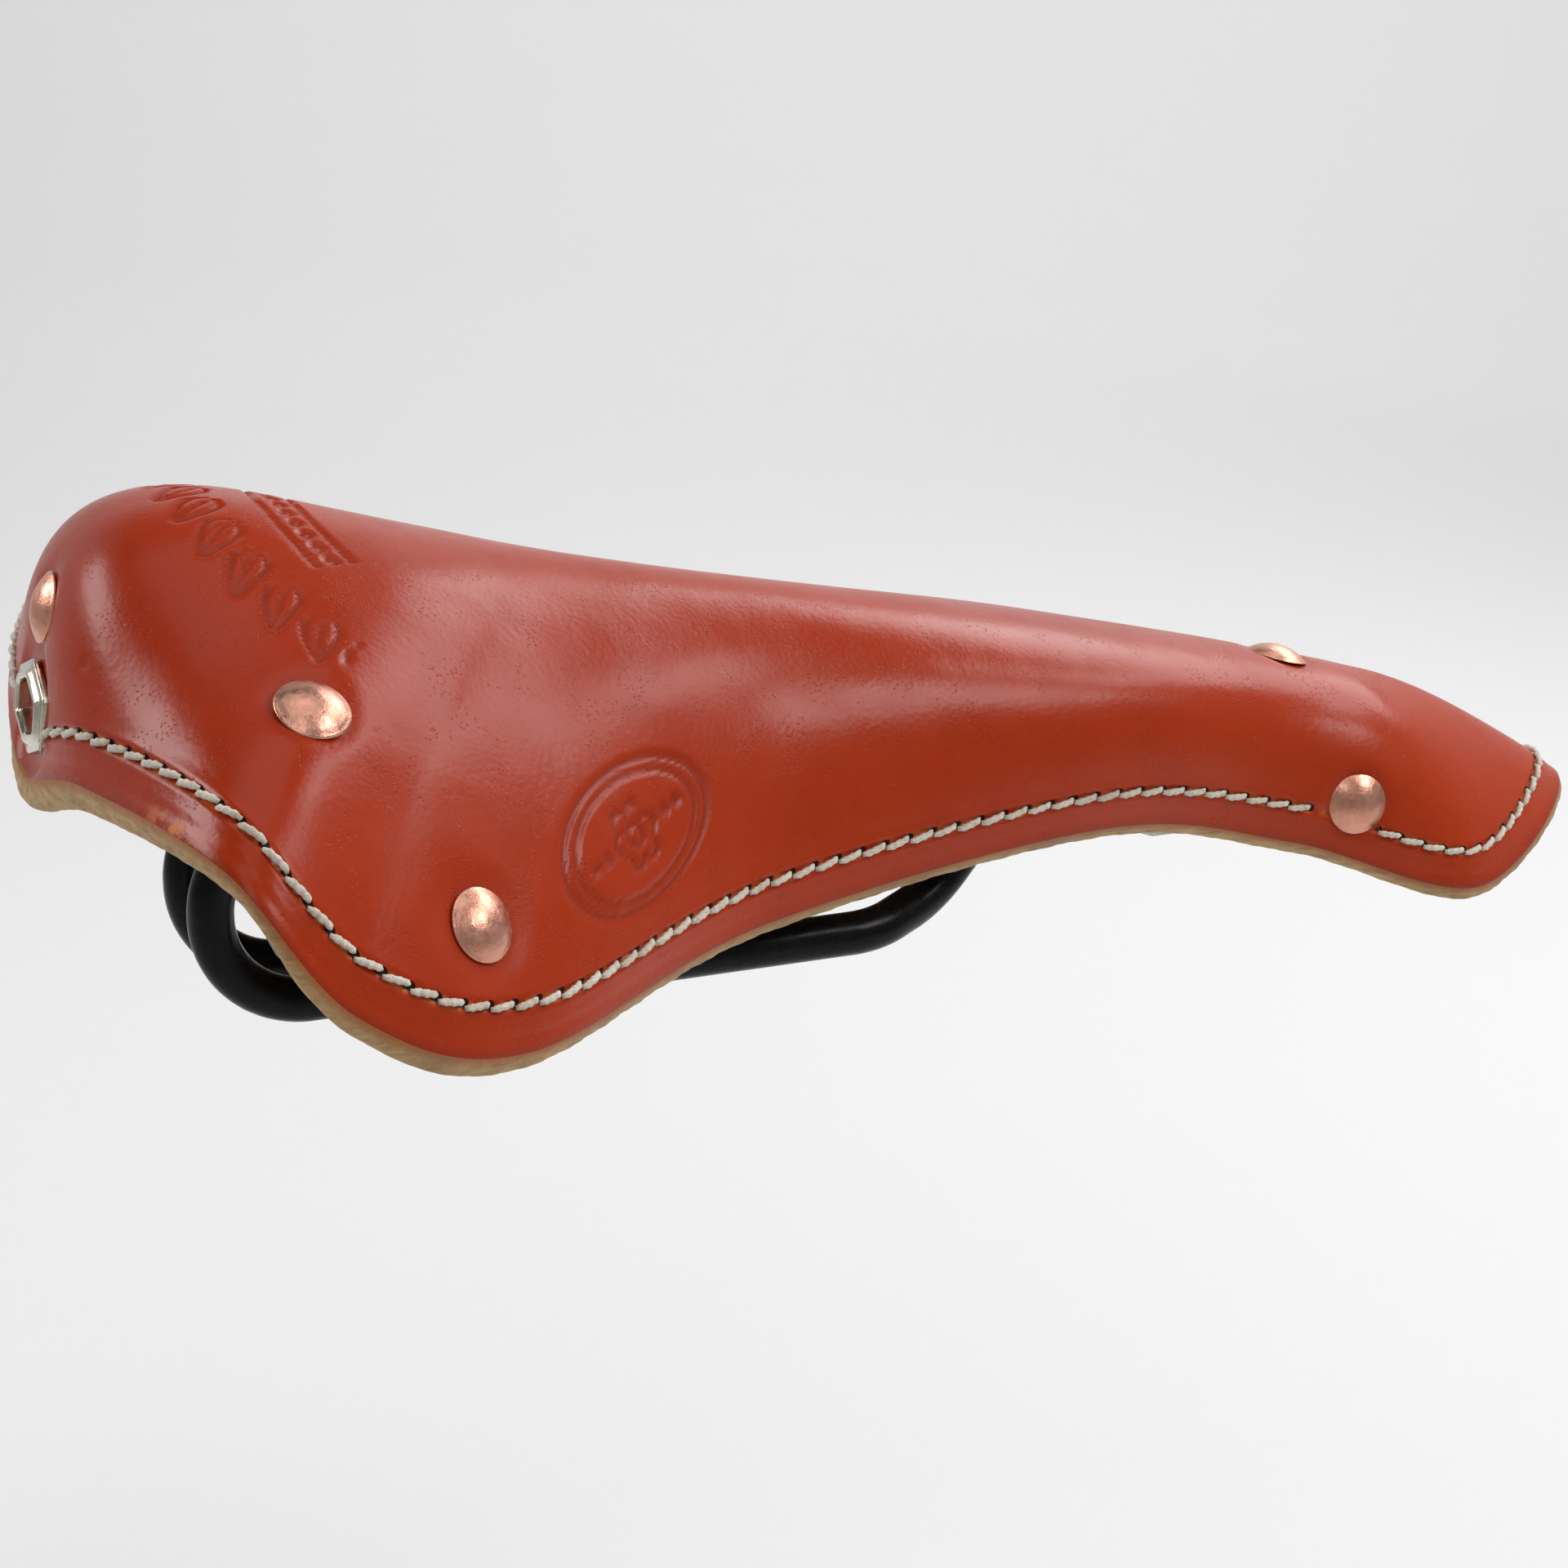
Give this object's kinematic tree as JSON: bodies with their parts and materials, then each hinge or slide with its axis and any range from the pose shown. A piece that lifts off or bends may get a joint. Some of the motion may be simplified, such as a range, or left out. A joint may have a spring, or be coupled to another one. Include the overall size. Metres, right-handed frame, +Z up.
{
  "type": "bicycle saddle",
  "caption": "Leather-topped bicycle saddle on a black round-wire rail frame, with a stitched skirt, domed copper rivets and a tension bolt behind a small hexagonal window at the rear.",
  "frame": {"origin": "midway between the two rails at the middle of their straight run, on the line through their centres", "axes": "+X forward to the nose, +Y to the rider's left, +Z up"},
  "size_m": [0.285, 0.1502, 0.0828],
  "materials": {
    "leather": "smooth dyed face with a soft sheen, raw tan cut edge",
    "thread": "waxed twisted thread",
    "copper": "satin copper",
    "nickel": "satin nickel plate",
    "plate_steel": "dull pressed steel",
    "yellow_zinc": "yellow zinc plate",
    "black_paint": "gloss black powder coat"
  },
  "bodies": {
    "frame": {"rail_left": "black_paint", "rail_right": "black_paint", "rail_bridge": "black_paint", "thrust_cup": "yellow_zinc", "nose_horn": "plate_steel", "nose_web": "plate_steel", "rail_clip": "black_paint", "clip_bolts": "nickel", "clip_nuts": "nickel", "nose_rivets": "copper", "nose_burrs": "copper", "leather_top": "leather", "skirt_stitching": "thread"},
    "cantle": {"cantle_plate": "plate_steel", "nut_bracket": "plate_steel", "tension_nut": "yellow_zinc", "rear_rivets": "copper", "rear_burrs": "copper", "eyelet_plate": "nickel", "eyelet_back": "nickel"},
    "bolt": {"tension_bolt": "yellow_zinc"}
  },
  "joints": [
    {"name": "bolt_spin", "type": "hinge", "parent": "frame", "child": "bolt", "pos_m": [-0.07, 0, 0.043], "axis": [1, 0, 0], "range_deg": [0, 1152]},
    {"name": "cantle_slide", "type": "slide", "parent": "frame", "child": "cantle", "axis": [-1, 0, 0], "range_m": [0, 0.004], "deforming": ["leather_top", "skirt_stitching"]}
  ],
  "couplings": [
    {"joint": "bolt_spin", "follows": "cantle_slide", "rad_per_m": 5026.5}
  ]
}
